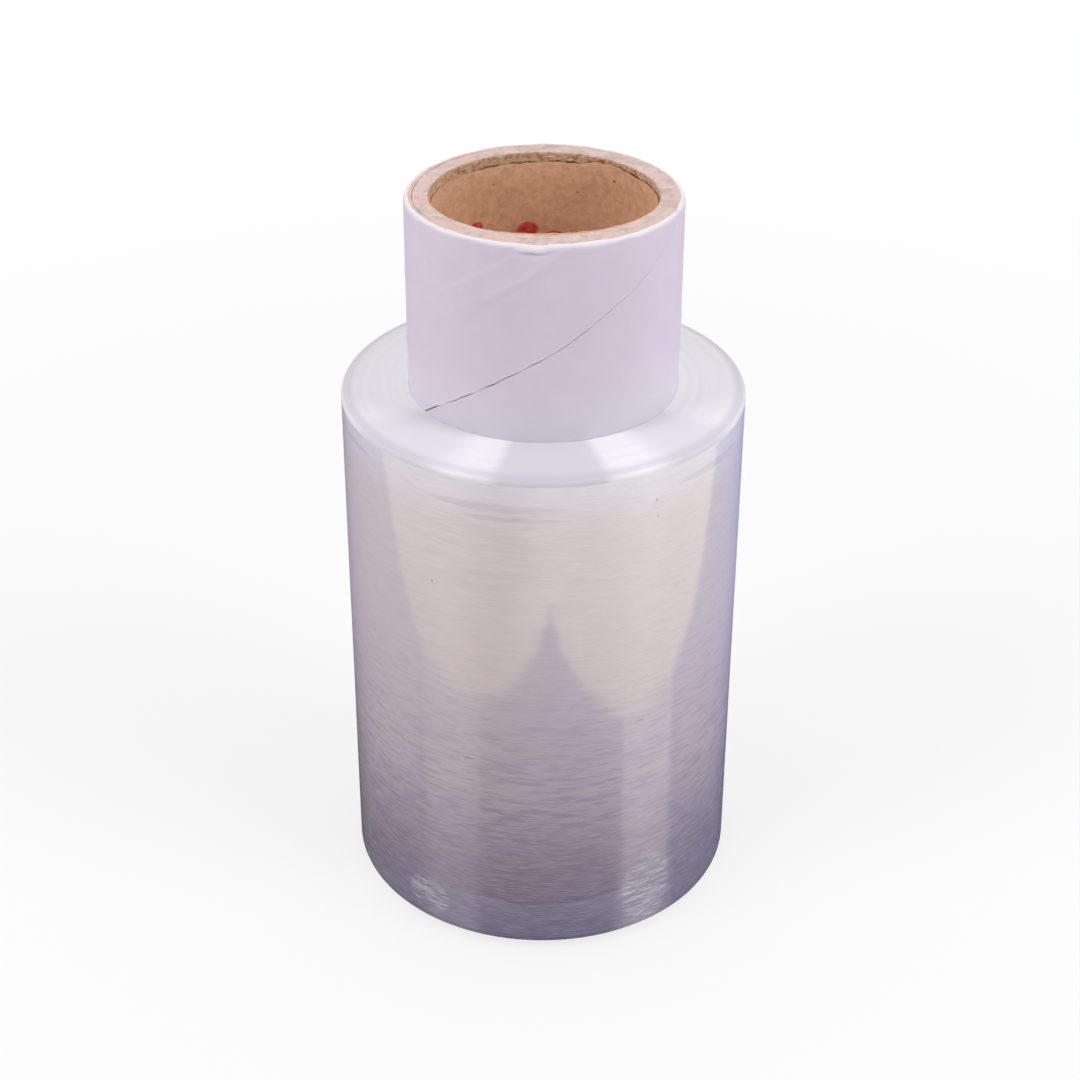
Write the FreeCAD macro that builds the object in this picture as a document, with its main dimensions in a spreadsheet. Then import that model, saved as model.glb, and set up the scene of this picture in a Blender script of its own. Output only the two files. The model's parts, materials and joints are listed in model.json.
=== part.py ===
import FreeCAD, Part

import math
import os

import Sketcher

# A hand roll of clear stretch wrap on a board core, in millimetres.
# The core stands on the floor with its axis on +Z. The origin is the middle of its lower end.

doc = FreeCAD.newDocument("stretch_wrap_roll")

# Driving dimensions
DIMENSIONS = {
    # Board core
    "bore_radius": 19.0,          # the trade's 38 mm core
    "board_wall": 4.45,           # all plies of brown board together
    "core_length": 135.0,         # the film's width and the handle above it
    "board_plies": 4,             # plies that can be told apart at the ends
    "ply_gap_width": 0.16,        # the line between two plies, seen at the end of the board
    "ply_gap_depth": 0.3,
    "chip_width": 0.5,            # the innermost ply is torn back at the top of the bore
    "chip_depth": 1.3,
    # White outer paper
    "paper_thickness": 0.3,
    "seam_lead": 96.5,            # height that the paper's open butt joint climbs in one turn
    "seam_gap": 0.25,             # open width of the joint, measured along the axis
    "seam_height": 116.0,         # height at which the joint crosses the front of the roll
    # Wound film
    "film_width": 100.0,
    "film_build": 11.85,          # wound thickness of the film on the core
    "film_lift": 0.4,             # the film ends this far above the foot of the core
    "end_fall": 0.5,              # each end face falls away by this much before its edge is rounded
    "shoulder_round": 1.4,        # outer edge of the upper end
    "foot_round": 2.1,            # outer edge of the lower end, pressed rounder by standing
    "turn_pitch": 1.7,            # radial distance between the turns that show at an end face
    "turn_gap_width": 0.4,        # the line between two such turns
    "turn_gap_depth": 0.22,
    "tail_step": 0.2,             # the film's loose end, a step down the back of the roll
}

# Sizes that several pieces share, worked out from the driving dimensions
DERIVED = {
    "board_radius": "bore_radius + board_wall",
    "paper_radius": "board_radius + paper_thickness",
    "film_radius": "paper_radius + film_build",
    "film_top": "film_lift + film_width",
    # The straight wall of the film lies between its rounded edges
    "wall_bottom": "film_lift + end_fall + foot_round",
    "wall_top": "film_top - end_fall - shoulder_round",
    "ply_pitch": "board_wall / board_plies",
    # The turns that show start a pitch outside the core and end short of the rounded edges
    "turn_count": "floor((film_build - max(shoulder_round; foot_round)) / turn_pitch - 1.3)",
    # Each of them lies this much lower than the one inside it
    "turn_fall": "end_fall * turn_pitch / (film_build - shoulder_round)",
    # The joint crosses +X a quarter of a turn after the front, and starts below the foot of the core
    "seam_side_height": "seam_height + seam_lead / 4",
    "seam_start": "seam_side_height - ceil(seam_side_height / seam_lead) * seam_lead",
}

# A cutting outline reaches this far past the faces that it cuts
OVERCUT = 0.5

# A rounded edge of the film is turned as this many bevels, as its turns lie in steps there
ROUND_FACETS = 3

sheet = doc.addObject("Spreadsheet::Sheet", "sizes")
contents = {alias: str(value) for alias, value in DIMENSIONS.items()}
contents.update({alias: "=" + formula for alias, formula in DERIVED.items()})
for row, alias in enumerate(contents, start=1):
    sheet.set(f"A{row}", alias)
    sheet.setAlias(f"B{row}", alias)
for row, content in enumerate(contents.values(), start=1):
    sheet.set(f"B{row}", content)
doc.recompute()


def new_body(name):
    """An empty body whose Label is the name of its node."""
    body = doc.addObject("PartDesign::Body", name)
    body.Label = name
    return body


def sketch_on(body, role, name):
    """A sketch attached to one of the body's own origin planes."""
    plane = next(feature for feature in body.Origin.OriginFeatures if feature.Role == role)
    sketch = body.newObject("Sketcher::SketchObject", name)
    sketch.AttachmentSupport = [(plane, "")]
    sketch.MapMode = "FlatFace"
    return sketch


def bind(sketch, kind, line, point, formula):
    """Holds one point of a line at a distance from the sketch's origin, given as an expression."""
    value = float(sketch.evalExpression(formula))
    number = sketch.addConstraint(Sketcher.Constraint(kind, -1, 1, line, point, value))
    sketch.setExpression(f"Constraints[{number}]", formula)


def add_outline(sketch, corners):
    """One closed outline of straight edges. Each corner is its two distances, as expressions."""
    places = [FreeCAD.Vector(*(float(sketch.evalExpression(text)) for text in corner)) for corner in corners]
    first = sketch.GeometryCount
    count = len(corners)
    for index, place in enumerate(places):
        sketch.addGeometry(Part.LineSegment(place, places[(index + 1) % count]), False)
    for index, corner in enumerate(corners):
        edge = first + index
        after = first + (index + 1) % count
        sketch.addConstraint(Sketcher.Constraint("Coincident", edge, 2, after, 1))
        bind(sketch, "DistanceX", edge, 1, corner[0])
        bind(sketch, "DistanceY", edge, 1, corner[1])


def rectangle(left, bottom, right, top):
    """The corners of an upright rectangle, from four expressions."""
    return [(left, bottom), (right, bottom), (right, top), (left, top)]


def notch(radius, face, width, depth):
    """The corners of a V notch. It has its width at the face, and its depth below it.

    A depth with a minus sign makes a notch in a face that looks down.
    """
    return [
        (f"{radius}", f"{face} - ({depth})"),
        (f"{radius} + {width}", f"{face} + ({depth})"),
        (f"{radius} - {width}", f"{face} + ({depth})"),
    ]


def outlines_on(body, name, outlines):
    """A sketch in the XZ plane, with its outlines."""
    sketch = sketch_on(body, "XZ_Plane", name + "Profile")
    for outline in outlines:
        add_outline(sketch, outline)
    return sketch


def revolve(body, kind, name, sketch, axis="V_Axis", angle=360, through_back=True):
    """A Revolution or a Groove about an upright axis, which starts in the XZ plane on the +X side."""
    feature = body.newObject("PartDesign::" + kind, name)
    feature.Profile = sketch
    feature.ReferenceAxis = (sketch, [axis])
    feature.Angle = angle
    feature.Reversed = not through_back
    doc.recompute()
    return feature


def add_upright_axis(sketch, offset):
    """A construction line that stands on the X axis, for the sketch's outlines to turn about."""
    place = float(sketch.evalExpression(offset))
    foot = FreeCAD.Vector(place, 0)
    head = FreeCAD.Vector(place, float(sheet.film_top))
    line = sketch.addGeometry(Part.LineSegment(foot, head), True)
    for point in (1, 2):
        bind(sketch, "DistanceX", line, point, offset)
    bind(sketch, "DistanceY", line, 2, "sizes.film_top")


def make_core_tube():
    """The board tube: a plain wall, the lines of its plies at both ends, and the torn inner ply."""
    body = new_body("core_tube")
    wall = rectangle("sizes.bore_radius", "0", "sizes.board_radius", "sizes.core_length")
    revolve(body, "Revolution", "Wall", outlines_on(body, "Wall", [wall]))
    torn = rectangle(
        f"sizes.bore_radius - {OVERCUT}", "sizes.core_length - sizes.chip_depth",
        "sizes.bore_radius + sizes.chip_width", f"sizes.core_length + {OVERCUT}",
    )
    revolve(body, "Groove", "TornLiner", outlines_on(body, "TornLiner", [torn]))
    gaps = []
    for ply in range(1, int(sheet.board_plies)):
        radius = f"sizes.bore_radius + {ply} * sizes.ply_pitch"
        gaps.append(notch(radius, "sizes.core_length", "sizes.ply_gap_width", "sizes.ply_gap_depth"))
        gaps.append(notch(radius, "0", "sizes.ply_gap_width", "-sizes.ply_gap_depth"))
    revolve(body, "Groove", "PlyLines", outlines_on(body, "PlyLines", gaps))
    return body


def make_outer_paper():
    """The white paper strip: one ply round the board, with an open helical butt joint."""
    body = new_body("outer_paper")
    ply = rectangle("sizes.board_radius", "0", "sizes.paper_radius", "sizes.core_length")
    revolve(body, "Revolution", "Ply", outlines_on(body, "Ply", [ply]))
    slit = outlines_on(body, "ButtJoint", [rectangle(
        f"sizes.board_radius - {OVERCUT}", "0", f"sizes.paper_radius + {OVERCUT}", "sizes.seam_gap",
    )])
    slit.setExpression(".AttachmentOffset.Base.y", "sizes.seam_start - sizes.seam_gap / 2")
    joint = body.newObject("PartDesign::SubtractiveHelix", "ButtJoint")
    joint.Profile = slit
    joint.ReferenceAxis = (slit, ["V_Axis"])
    joint.Mode = "pitch-height-angle"
    joint.setExpression("Pitch", "sizes.seam_lead")
    joint.setExpression("Height", "sizes.core_length - sizes.seam_start + sizes.seam_gap")
    doc.recompute()
    return body


def rounded_edge(radius, height, first_angle):
    """The corners of a quarter round at the film's outer edge, from the centre's height and a start angle."""
    corners = []
    for facet in range(ROUND_FACETS + 1):
        angle = math.radians(first_angle + 90 * facet / ROUND_FACETS)
        corners.append((
            f"sizes.film_radius - {radius} + {radius} * {math.cos(angle):.6f}",
            f"{height} + {radius} * {math.sin(angle):.6f}",
        ))
    return corners


def make_film_roll():
    """The wound film: rounded ends whose turns show as a spiral, and the loose end at the back."""
    body = new_body("film_roll")
    section = [("sizes.paper_radius", "sizes.film_lift")]
    section += rounded_edge("sizes.foot_round", "sizes.wall_bottom", -90)
    section += rounded_edge("sizes.shoulder_round", "sizes.wall_top", 0)
    section += [("sizes.paper_radius", "sizes.film_top")]
    revolve(body, "Revolution", "Turns", outlines_on(body, "Turns", [section]))

    loose_end = sketch_on(body, "XY_Plane", "LooseEndProfile")
    add_outline(loose_end, rectangle(
        "0", "sizes.film_radius - sizes.tail_step", "sizes.film_radius / 2", f"sizes.film_radius + {OVERCUT}",
    ))
    step = body.newObject("PartDesign::Pocket", "LooseEnd")
    step.Profile = loose_end
    step.Reversed = True
    step.setExpression("Length", f"sizes.film_top + {OVERCUT}")
    doc.recompute()

    # The spiral is made of half turns: those in front run about the roll's axis, and those behind
    # about one that is half a pitch to the side, so that each ends where the next begins
    front = []
    back = []
    for turn in range(1, int(sheet.turn_count) + 1):
        for face, fall, depth in (
            ("sizes.film_top", "-sizes.turn_fall", "sizes.turn_gap_depth"),
            ("sizes.film_lift", "sizes.turn_fall", "-sizes.turn_gap_depth"),
        ):
            front.append(notch(
                f"sizes.paper_radius + {turn} * sizes.turn_pitch", f"{face} + {turn} * ({fall})",
                "sizes.turn_gap_width", depth,
            ))
            back.append(notch(
                f"sizes.paper_radius + {turn + 1} * sizes.turn_pitch", f"{face} + {turn + 0.5} * ({fall})",
                "sizes.turn_gap_width", depth,
            ))
    revolve(body, "Groove", "FrontTurns", outlines_on(body, "FrontTurns", front), angle=180, through_back=False)
    behind = outlines_on(body, "BackTurns", back)
    add_upright_axis(behind, "sizes.turn_pitch / 2")
    revolve(body, "Groove", "BackTurns", behind, axis="Axis0", angle=180)
    return body


pieces = [make_core_tube(), make_outer_paper(), make_film_roll()]
doc.recompute()

for item in doc.Objects:
    faults = [state for state in item.State if state in ("Invalid", "Error")]
    if faults:
        raise RuntimeError(f"{item.Name} failed: {faults}")

os.makedirs("parts", exist_ok=True)
for piece in pieces:
    shape = piece.Shape
    if shape.isNull() or not shape.isValid() or len(shape.Solids) != 1:
        raise RuntimeError(f"{piece.Label} isn't one sound solid")
    shape.exportStep(f"parts/{piece.Label}.step")
    print(f"{piece.Label}: {shape.Volume / 1000:.2f} cubic centimetres, {len(shape.Faces)} faces")
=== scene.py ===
import json
import math

import bmesh
import bpy
import numpy as np
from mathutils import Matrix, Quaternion, Vector


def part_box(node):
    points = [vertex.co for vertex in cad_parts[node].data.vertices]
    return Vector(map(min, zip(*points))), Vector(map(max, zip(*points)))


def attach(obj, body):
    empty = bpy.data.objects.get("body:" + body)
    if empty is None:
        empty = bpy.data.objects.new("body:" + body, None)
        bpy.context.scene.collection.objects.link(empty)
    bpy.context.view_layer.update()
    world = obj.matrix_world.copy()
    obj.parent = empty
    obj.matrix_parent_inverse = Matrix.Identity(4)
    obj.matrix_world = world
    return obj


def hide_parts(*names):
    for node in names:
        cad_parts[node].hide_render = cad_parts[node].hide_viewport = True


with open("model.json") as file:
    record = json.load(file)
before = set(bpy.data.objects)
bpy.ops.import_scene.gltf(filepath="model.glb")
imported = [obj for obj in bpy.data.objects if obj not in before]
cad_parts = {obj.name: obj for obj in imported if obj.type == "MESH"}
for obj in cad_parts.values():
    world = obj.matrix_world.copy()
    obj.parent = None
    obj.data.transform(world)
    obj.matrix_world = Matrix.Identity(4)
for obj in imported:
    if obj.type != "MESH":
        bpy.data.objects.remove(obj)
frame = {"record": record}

bl_info = {
    "name": "Stretch wrap roll",
    "version": (1, 0, 0),
    "blender": (4, 5, 0),
    "location": "3D View > Sidebar > Wrap Roll",
    "description": "Dresses a hand roll of clear stretch wrap on a board core",
    "category": "Object",
}

MM = 0.001
BODY = "root"

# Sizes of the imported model, in metres
CORE_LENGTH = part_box("core_tube")[1].z
BOARD_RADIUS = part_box("core_tube")[1].x
PAPER_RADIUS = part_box("outer_paper")[1].x
FILM_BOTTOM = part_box("film_roll")[0].z
FILM_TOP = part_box("film_roll")[1].z
FILM_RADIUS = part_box("film_roll")[1].x
BORE_RADIUS = frame["record"]["mounts"][0]["dims"]["r_mm"] * MM


def linear(red, green, blue):
    """A colour given as it shows on a screen, from 0 to 255, as linear light."""
    shares = (value / 255 for value in (red, green, blue))
    return tuple(s / 12.92 if s <= 0.04045 else ((s + 0.055) / 1.055) ** 2.4 for s in shares)


def scaled(colour, share):
    """A colour with each part times a share."""
    return tuple(part * share for part in colour)


def tinted(colour, red, green, blue):
    """A colour with each part times its own share."""
    return tuple(part * share for part, share in zip(colour, (red, green, blue)))


def colour_field(name, description, default):
    """A property for a surface colour."""
    return bpy.props.FloatVectorProperty(
        name=name, description=description, subtype="COLOR", size=3, min=0, max=1, default=default,
    )


def length_field(name, description, default):
    """A property for a length, in metres."""
    return bpy.props.FloatProperty(
        name=name, description=description, unit="LENGTH", min=0, precision=5, default=default,
    )


def share_field(name, description, default):
    """A property for a share from 0 to 1."""
    return bpy.props.FloatProperty(
        name=name, description=description, subtype="FACTOR", min=0, max=1, default=default,
    )


class CoreSettings(bpy.types.PropertyGroup):
    """Sizes and colours of the board core and its white paper."""

    board_colour: colour_field("Bore board", "Brown board inside the bore", linear(230, 182, 148))
    cut_colour: colour_field("Cut board", "Sawn end of the board", linear(226, 206, 201))
    paper_colour: colour_field("Paper", "White outer paper", linear(224, 214, 229))
    mark_colour: colour_field("Bore marks", "Plain red printed marks in the bore", linear(206, 38, 56))
    lip_round: length_field("Lip round", "Worn round of the paper at the rim", 0.75 * MM)
    seam_lead: length_field("Seam lead", "Climb of the paper's butt joint in one turn", 96.5 * MM)
    seam_height: length_field("Seam height", "Height of the butt joint at the front", 116 * MM)
    seam_gap: length_field("Seam gap", "Open width of the butt joint", 0.15 * MM)


class FilmSettings(bpy.types.PropertyGroup):
    """Sizes and colours of the wound film."""

    # Painted light in the wall's colours: the upper wall and the top of the wall are painted pale for the
    # light from above and through the end, and the lower wall is painted dark as shade at the foot
    wall_colour: colour_field("Upper wall", "Wound film near the shoulder", linear(238, 226, 226))
    shoulder_colour: colour_field("Top of wall", "Thin film below the shoulder", linear(246, 243, 252))
    middle_colour: colour_field("Middle wall", "Wound film a third of the way up", linear(222, 202, 201))
    foot_colour: colour_field("Lower wall", "Wound film near the foot", linear(113, 99, 109))
    deep_colour: colour_field("Deep film", "Film seen through the outer turns", linear(94, 100, 158))
    inside_colour: colour_field("Inside of ends", "An end seen through the wall", linear(190, 188, 222))
    end_colour: colour_field("Ends", "Stacked edges of the film's turns", linear(240, 237, 241))
    upper_cover: share_field("Upper cover", "How much the upper wall hides what is behind it", 0.9)
    lower_cover: share_field("Lower cover", "How much the lower wall hides what is behind it", 0.74)
    band_depth: length_field("Band depth", "Unevenness of the wound wall", 0.03 * MM)
    ring_depth: length_field("Ring depth", "Unevenness of the turns at an end", 0.02 * MM)
    end_fall: length_field("End fall", "Fall of an end face towards its edge", 0.5 * MM)
    shoulder_round: length_field("Shoulder round", "Round of the upper outer edge", 1.4 * MM)
    foot_round: length_field("Foot round", "Round of the lower outer edge", 2.1 * MM)
    tail_step: length_field("Loose end", "Step of the film's loose end at the back", 0.2 * MM)


class StageSettings(bpy.types.PropertyGroup):
    """Floor, lamps and camera."""

    floor_size: length_field("Floor", "Side of the square floor", 6.0)
    floor_colour: colour_field("Floor colour", "Plain pale floor", linear(240, 240, 242))
    sheet_colour: colour_field("Sheet colour", "Pale sheet, as it lights the roll", linear(186, 182, 200))
    lamp_power: bpy.props.FloatProperty(
        name="Lamp power", description="Power of each of the two soft lamps", unit="POWER", default=2.5,
    )
    sky_strength: bpy.props.FloatProperty(
        name="Sky strength", description="Strength of the even light from all round", default=0.74,
    )


# Shader nodes


def fill(tree, socket, value):
    """Gives an input socket a plain value, or a link from another node's output."""
    if isinstance(value, bpy.types.NodeSocket):
        tree.links.new(value, socket)
    else:
        socket.default_value = value


def node(tree, kind, inputs=None, **settings):
    """Adds a shader node. Each input is a plain value, or another node's output to link from."""
    made = tree.nodes.new(kind)
    for key, value in settings.items():
        setattr(made, key, value)
    for key, value in (inputs or {}).items():
        fill(tree, made.inputs[key], value)
    return made


def calculate(tree, operation, *values):
    """A Math node's result."""
    return node(tree, "ShaderNodeMath", dict(enumerate(values)), operation=operation).outputs[0]


def times(tree, first, second):
    """The product of two values."""
    return calculate(tree, "MULTIPLY", first, second)


def plus(tree, first, second):
    """The sum of two values."""
    return calculate(tree, "ADD", first, second)


def minus(tree, first, second):
    """The first value less the second."""
    return calculate(tree, "SUBTRACT", first, second)


def vector_math(tree, operation, *values):
    """A Vector Math node's vector."""
    return node(tree, "ShaderNodeVectorMath", dict(enumerate(values)), operation=operation).outputs[0]


def ramp(tree, value, low, high, start=0.0, end=1.0, smooth=True):
    """Value taken from low..high to start..end, and held at the ends."""
    kind = "SMOOTHSTEP" if smooth else "LINEAR"
    names = {"Value": value, "From Min": low, "From Max": high, "To Min": start, "To Max": end}
    return node(tree, "ShaderNodeMapRange", names, interpolation_type=kind).outputs["Result"]


def blend(tree, share, first, second):
    """The first colour changed towards the second by a share."""
    colours = [c if isinstance(c, bpy.types.NodeSocket) else (*c, 1.0) for c in (first, second)]
    names = {0: share, 6: colours[0], 7: colours[1]}
    return node(tree, "ShaderNodeMix", names, data_type="RGBA").outputs[2]


def blend_shaders(tree, share, first, second):
    """The first shader mixed with the second by a share."""
    return node(tree, "ShaderNodeMixShader", {0: share, 1: first, 2: second}).outputs[0]


def noise(tree, vector, scale, detail=2.0, roughness=0.5):
    """A noise texture's value, from about 0.3 to 0.7."""
    names = {"Vector": vector, "Scale": scale, "Detail": detail, "Roughness": roughness}
    return node(tree, "ShaderNodeTexNoise", names).outputs["Fac"]


def new_group(name, inputs, outputs):
    """An empty shader node group with float and vector sockets: (group, input node, output node)."""
    group = bpy.data.node_groups.new(name, "ShaderNodeTree")
    for label, value in inputs.items():
        kind = "NodeSocketVector" if value is None else "NodeSocketFloat"
        socket = group.interface.new_socket(label, in_out="INPUT", socket_type=kind)
        if value is not None:
            socket.default_value = value
    for label in outputs:
        group.interface.new_socket(label, in_out="OUTPUT", socket_type="NodeSocketFloat")
    return group, group.nodes.new("NodeGroupInput"), group.nodes.new("NodeGroupOutput")


def use_group(tree, group, inputs):
    """The outputs of a group that is placed in a tree with its own values."""
    return node(tree, "ShaderNodeGroup", inputs, node_tree=group).outputs


def turns_group():
    """Fine lines that run round the roll: the edges and creases of its turns."""
    name = "wound turns"
    if name in bpy.data.node_groups:
        return bpy.data.node_groups[name]
    inputs = {"Place": None, "Across": 0.0, "Length": 30 * MM, "Thickness": 0.5 * MM, "Waver": 0.6 * MM}
    group, given, result = new_group(name, inputs, ("Fine", "Broad", "Height"))
    place = given.outputs["Place"]
    drift = noise(group, place, 22.0, 1.0)
    shift = times(group, minus(group, drift, 0.5), given.outputs["Waver"])
    across = plus(group, given.outputs["Across"], shift)
    along = node(group, "ShaderNodeSeparateXYZ", {0: place})
    spots = node(group, "ShaderNodeCombineXYZ", {
        "X": calculate(group, "DIVIDE", along.outputs["X"], given.outputs["Length"]),
        "Y": calculate(group, "DIVIDE", along.outputs["Y"], given.outputs["Length"]),
        "Z": calculate(group, "DIVIDE", across, given.outputs["Thickness"]),
    }).outputs[0]
    fine = ramp(group, noise(group, spots, 1.0, 3.0, 0.65), 0.3, 0.7)
    slow = vector_math(group, "MULTIPLY", spots, (0.6, 0.6, 0.3))
    broad = ramp(group, noise(group, slow, 1.0, 2.0, 0.5), 0.3, 0.7)
    height = plus(group, fine, times(group, broad, 1.5))
    group.links.new(fine, result.inputs["Fine"])
    group.links.new(broad, result.inputs["Broad"])
    group.links.new(height, result.inputs["Height"])
    return group


def fibres_group():
    """The mottle and short fibres of board and paper."""
    name = "pressed fibres"
    if name in bpy.data.node_groups:
        return bpy.data.node_groups[name]
    inputs = {"Place": None, "Fibre": 0.8 * MM}
    group, given, result = new_group(name, inputs, ("Mottle", "Fibres", "Height"))
    place = given.outputs["Place"]
    size = given.outputs["Fibre"]
    cloudy = noise(group, place, calculate(group, "DIVIDE", 0.25, size), 4.0, 0.6)
    bend = node(group, "ShaderNodeTexNoise", {
        "Vector": place, "Scale": calculate(group, "DIVIDE", 0.5, size), "Detail": 1.0,
    }).outputs["Color"]
    bent = vector_math(group, "ADD", place, node(group, "ShaderNodeVectorMath", {
        0: bend, "Scale": times(group, size, 1.6),
    }, operation="SCALE").outputs[0])
    strands = node(group, "ShaderNodeTexVoronoi", {
        "Vector": vector_math(group, "MULTIPLY", bent, (1.0, 1.0, 2.6)),
        "Scale": calculate(group, "DIVIDE", 0.8, size),
    }, feature="DISTANCE_TO_EDGE").outputs["Distance"]
    mottle = ramp(group, cloudy, 0.3, 0.7)
    fibres = ramp(group, strands, 0.0, 0.12, 1.0, 0.0)
    group.links.new(mottle, result.inputs["Mottle"])
    group.links.new(fibres, result.inputs["Fibres"])
    height = plus(group, mottle, times(group, fibres, 0.5))
    group.links.new(height, result.inputs["Height"])
    return group


def new_material(name):
    """A material with a Principled shader: (material, its tree, the shader)."""
    material = bpy.data.materials.new(name)
    material.use_nodes = True
    tree = material.node_tree
    tree.nodes.clear()
    shader = tree.nodes.new("ShaderNodeBsdfPrincipled")
    output = tree.nodes.new("ShaderNodeOutputMaterial")
    tree.links.new(shader.outputs["BSDF"], output.inputs["Surface"])
    return material, tree, shader


def feed(tree, shader, **inputs):
    """Links or sets the shader's inputs. A word's underscores stand for spaces."""
    for key, value in inputs.items():
        fill(tree, shader.inputs[key.replace("_", " ")], value)


def place_of(tree):
    """Object coordinates as a vector, and its three parts."""
    place = node(tree, "ShaderNodeTexCoord").outputs["Object"]
    parts = node(tree, "ShaderNodeSeparateXYZ", {0: place}).outputs
    return place, parts["X"], parts["Y"], parts["Z"]


def from_axis(tree, x, y):
    """The distance of a point from the roll's axis."""
    return calculate(tree, "SQRT", plus(tree, times(tree, x, x), times(tree, y, y)))


def bump(tree, height, depth):
    """A Bump node's normal for a height map that is this deep, in metres."""
    names = {"Height": height, "Distance": depth, "Strength": 1.0}
    return node(tree, "ShaderNodeBump", names).outputs["Normal"]


def inner_side(tree):
    """1 on the back of a surface, which is seen through the film."""
    return node(tree, "ShaderNodeNewGeometry").outputs["Backfacing"]


def round_axis(tree):
    """The tangent that the gloss of wound turns follows."""
    return node(tree, "ShaderNodeTangent", direction_type="RADIAL", axis="Z").outputs[0]


def ovals(tree, x, y, depth, radius, places):
    """A mask of ovals on a round wall: angle in degrees, then depth, half width and half height in mm."""
    turn = calculate(tree, "ARCTAN2", y, x)
    mask = None
    for angle, below, width, height in places:
        aside = times(tree, minus(tree, turn, math.radians(angle)), radius / (width * MM))
        up = calculate(tree, "DIVIDE", minus(tree, depth, below * MM), height * MM)
        off = plus(tree, times(tree, aside, aside), times(tree, up, up))
        oval = ramp(tree, off, 0.55, 1.3, 1.0, 0.0)
        mask = oval if mask is None else calculate(tree, "MAXIMUM", mask, oval)
    return mask


# Printed ovals in the bore, as ovals() takes them
BORE_MARKS = (
    (129.0, 12.4, 1.5, 1.0), (99.0, 14.4, 2.1, 1.5), (84.0, 15.7, 1.9, 1.0), (48.0, 19.0, 2.0, 1.4),
    (10.0, 22.8, 1.6, 1.3), (165.0, 9.6, 1.4, 1.3),
)
# Dark bits pressed into the bore's board
BORE_SPECKS = (
    (50.0, 3.6, 0.28, 0.26), (75.0, 15.2, 0.12, 0.9), (118.0, 5.2, 0.2, 0.16), (72.0, 7.0, 0.2, 0.2),
)
# A crack runs down the bore from the torn edge: angle and depth of its two ends
BORE_CRACK = ((34.0, 1.5 * MM), (19.0, 5.2 * MM))


def crevice_material(settings):
    """The deep gap between the torn ply and the liner, with its shade painted dark into it."""
    material, tree, shader = new_material("board crevice")
    place, x, y, _ = place_of(tree)
    brown = settings.board_colour
    # Painted shade: the gap is painted dark, most where it lies open at the back
    open_part = ramp(tree, plus(tree, y, times(tree, x, 0.5)), 6 * MM, 14 * MM)
    broken = ramp(tree, noise(tree, place, 350, 2), 0.4, 0.6, 0.35, 1.0)
    shade = times(tree, open_part, broken)
    colour = blend(tree, shade, scaled(brown, 0.9), tinted(brown, 0.26, 0.2, 0.18))
    feed(tree, shader, Base_Color=colour, Roughness=0.9)
    return material


def bore_material(settings):
    """Brown recycled board inside the bore, with dark bits, a crack and a few plain red printed ovals."""
    material, tree, shader = new_material("bore board")
    place, x, y, z = place_of(tree)
    depth = minus(tree, CORE_LENGTH, z)
    fibres = use_group(tree, fibres_group(), {"Place": place, "Fibre": 0.36 * MM})
    brown = settings.board_colour
    dark = scaled(brown, 0.55)
    colour = blend(tree, fibres["Mottle"], scaled(brown, 0.86), scaled(brown, 1.08))
    colour = blend(tree, times(tree, fibres["Fibres"], 0.16), colour, dark)
    # The torn ply behind the liner is paler and greyer, with dark bits in it
    behind = ramp(tree, from_axis(tree, x, y), BORE_RADIUS + 0.25 * MM, BORE_RADIUS + 0.4 * MM)
    bits = ramp(tree, noise(tree, place, 1000.0, 2.0, 0.6), 0.34, 0.58)
    bits = calculate(tree, "MAXIMUM", bits, ramp(tree, y, 0.0, 15 * MM, 0.8, 0.0))
    torn = blend(tree, bits, tinted(brown, 0.62, 0.58, 0.52), tinted(brown, 0.92, 1.05, 1.12))
    colour = blend(tree, behind, colour, torn)

    marks = ovals(tree, x, y, depth, BORE_RADIUS, BORE_MARKS)
    ink = times(tree, marks, ramp(tree, fibres["Mottle"], 0.0, 1.0, 0.95, 0.7))
    colour = blend(tree, ink, colour, settings.mark_colour)
    specks = ovals(tree, x, y, depth, BORE_RADIUS, BORE_SPECKS)
    (first, upper), (last, lower) = BORE_CRACK
    turn = calculate(tree, "ARCTAN2", y, x)
    line = ramp(tree, depth, upper, lower, math.radians(first), math.radians(last), smooth=False)
    off = calculate(tree, "ABSOLUTE", times(tree, minus(tree, turn, line), BORE_RADIUS))
    begun = ramp(tree, depth, upper, upper + 0.4 * MM)
    ended = ramp(tree, depth, lower - 0.8 * MM, lower, 1.0, 0.0)
    crack = times(tree, ramp(tree, off, 0.05 * MM, 0.22 * MM, 0.8, 0.0), times(tree, begun, ended))
    colour = blend(tree, calculate(tree, "MAXIMUM", crack, specks), colour, scaled(brown, 0.3))
    feed(
        tree, shader, Base_Color=colour, Roughness=0.82, Specular_IOR_Level=0.25,
        Normal=bump(tree, fibres["Height"], 0.05 * MM),
    )
    return material


def cut_board_material(settings):
    """The sawn end of the board: pale, fibrous, with faint plies."""
    material, tree, shader = new_material("cut board")
    place, *_ = place_of(tree)
    fibres = use_group(tree, fibres_group(), {"Place": place, "Fibre": 0.5 * MM})
    pale = settings.cut_colour
    dull = tinted(pale, 0.76, 0.72, 0.67)
    pink = tinted(pale, 1.02, 0.90, 0.87)
    colour = blend(tree, fibres["Mottle"], dull, pale)
    patches = ramp(tree, noise(tree, place, 260.0, 1.0), 0.42, 0.62, 0.0, 0.7)
    colour = blend(tree, patches, colour, pink)
    colour = blend(tree, times(tree, fibres["Fibres"], 0.15), colour, dull)
    feed(
        tree, shader, Base_Color=colour, Roughness=0.88, Specular_IOR_Level=0.2,
        Normal=bump(tree, fibres["Height"], 0.08 * MM),
    )
    return material


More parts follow.
